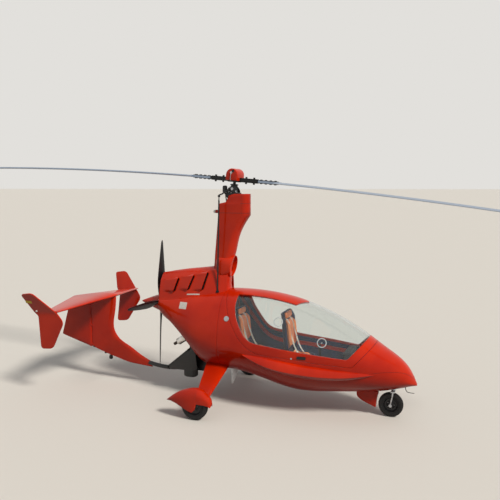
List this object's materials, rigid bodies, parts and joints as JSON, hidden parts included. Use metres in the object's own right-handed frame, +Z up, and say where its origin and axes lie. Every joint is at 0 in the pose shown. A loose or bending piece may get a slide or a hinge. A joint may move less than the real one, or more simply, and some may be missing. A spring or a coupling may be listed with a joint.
{
  "type": "enclosed two-seat gyrocopter",
  "caption": "Full-size enclosed tandem gyrocopter with free-turning rotor, pusher propeller, opening canopy, steered nose wheel and rudder.",
  "frame": {"origin": "on the ground straight below the rotor hub, on the centre plane", "axes": "+X forward to the nose, +Y to port, +Z up"},
  "size_m": [8.689, 2.237, 3.0755],
  "materials": {
    "bare_metal": "machined",
    "black_composite": "matt carbon composite",
    "black_metal": "satin black powder coat",
    "cabin_lining": "dark lining",
    "canopy_glass": "clear blown acrylic",
    "engine": "cast",
    "exhaust_steel": "brushed stainless",
    "red_paint": "gloss painted composite",
    "rim": "dark painted rim",
    "rotor_blade": "anodised",
    "seat_shell": "dark blue moulded shell",
    "tyre": "worn rubber",
    "upholstery": "stitched orange leather"
  },
  "bodies": {
    "airframe": {"beacon": "red_paint", "belly_step": "bare_metal", "cabin_floor": "cabin_lining", "canopy_hinges": "black_metal", "control_rods": "black_metal", "control_stick": "black_metal", "cooler": "black_composite", "end_plate_left": "red_paint", "end_plate_right": "red_paint", "engine_block": "engine", "engine_cowl": "red_paint", "engine_mount": "black_metal", "fin": "red_paint", "firewall": "black_composite", "front_cushions": "upholstery", "front_seat": "seat_shell", "fuel_cap": "bare_metal", "gear_leg_left": "red_paint", "gear_leg_right": "red_paint", "hull_tub": "red_paint", "instrument_panel": "cabin_lining", "intake_scoop": "red_paint", "keel_boom": "black_composite", "main_axle_left": "bare_metal", "main_axle_right": "bare_metal", "mast": "red_paint", "muffler": "exhaust_steel", "nose_bearing": "bare_metal", "nose_mudguard": "red_paint", "oil_tank": "black_composite", "pitot_tube": "bare_metal", "rear_cushions": "upholstery", "rear_seat": "seat_shell", "rotor_head": "black_metal", "spat_left": "red_paint", "spat_right": "red_paint", "stabiliser": "red_paint", "strake_left": "red_paint", "strake_right": "red_paint", "subframe": "black_composite", "tail_bracket": "black_metal", "tail_pipe": "exhaust_steel"},
    "canopy": {"canopy_frame": "red_paint", "canopy_glass": "canopy_glass", "canopy_knuckles": "black_metal"},
    "rudder": {"rudder": "red_paint"},
    "nose_gear": {"nose_fork": "bare_metal"},
    "nose_wheel": {"nose_tyre": "tyre", "nose_rim": "rim"},
    "main_wheel_left": {"main_tyre_left": "tyre", "main_rim_left": "rim"},
    "main_wheel_right": {"main_tyre_right": "tyre", "main_rim_right": "rim"},
    "tail_wheel": {"tail_wheel": "tyre"},
    "rotor": {"rotor_hub": "black_metal", "rotor_blade_front": "rotor_blade", "rotor_blade_rear": "rotor_blade", "rotor_cap": "red_paint"},
    "propeller": {"propeller": "black_composite", "spinner": "red_paint"}
  },
  "joints": [
    {"name": "canopy_open", "type": "hinge", "parent": "airframe", "child": "canopy", "pos_m": [0.52, 0.478, 0.705], "axis": [-0.9977, 0.0348, 0.058], "range_deg": [0, 78]},
    {"name": "rudder_turn", "type": "hinge", "parent": "airframe", "child": "rudder", "pos_m": [-2.24, 0, 0.78], "axis": [0, 0, 1], "range_deg": [-25, 25]},
    {"name": "nose_steer", "type": "hinge", "parent": "airframe", "child": "nose_gear", "pos_m": [2.048, 0, 0.4], "axis": [0, 0, 1], "range_deg": [-30, 30]},
    {"name": "nose_wheel_spin", "type": "hinge", "parent": "nose_gear", "child": "nose_wheel", "pos_m": [2.022, 0, 0.148], "axis": [0, 1, 0], "continuous": true},
    {"name": "main_wheel_left_spin", "type": "hinge", "parent": "airframe", "child": "main_wheel_left", "pos_m": [-0.148, 0.92, 0.163], "axis": [0, 1, 0], "continuous": true},
    {"name": "main_wheel_right_spin", "type": "hinge", "parent": "airframe", "child": "main_wheel_right", "pos_m": [-0.148, -0.92, 0.163], "axis": [0, 1, 0], "continuous": true},
    {"name": "tail_wheel_spin", "type": "hinge", "parent": "airframe", "child": "tail_wheel", "pos_m": [-1.914, 0, 0.336], "axis": [0, 1, 0], "continuous": true},
    {"name": "rotor_spin", "type": "hinge", "parent": "airframe", "child": "rotor", "pos_m": [0, 0, 2.85], "axis": [0.0845, 0, 0.9964], "continuous": true},
    {"name": "propeller_spin", "type": "hinge", "parent": "airframe", "child": "propeller", "pos_m": [-1.09, 0, 1.19], "axis": [1, 0, 0], "continuous": true}
  ]
}
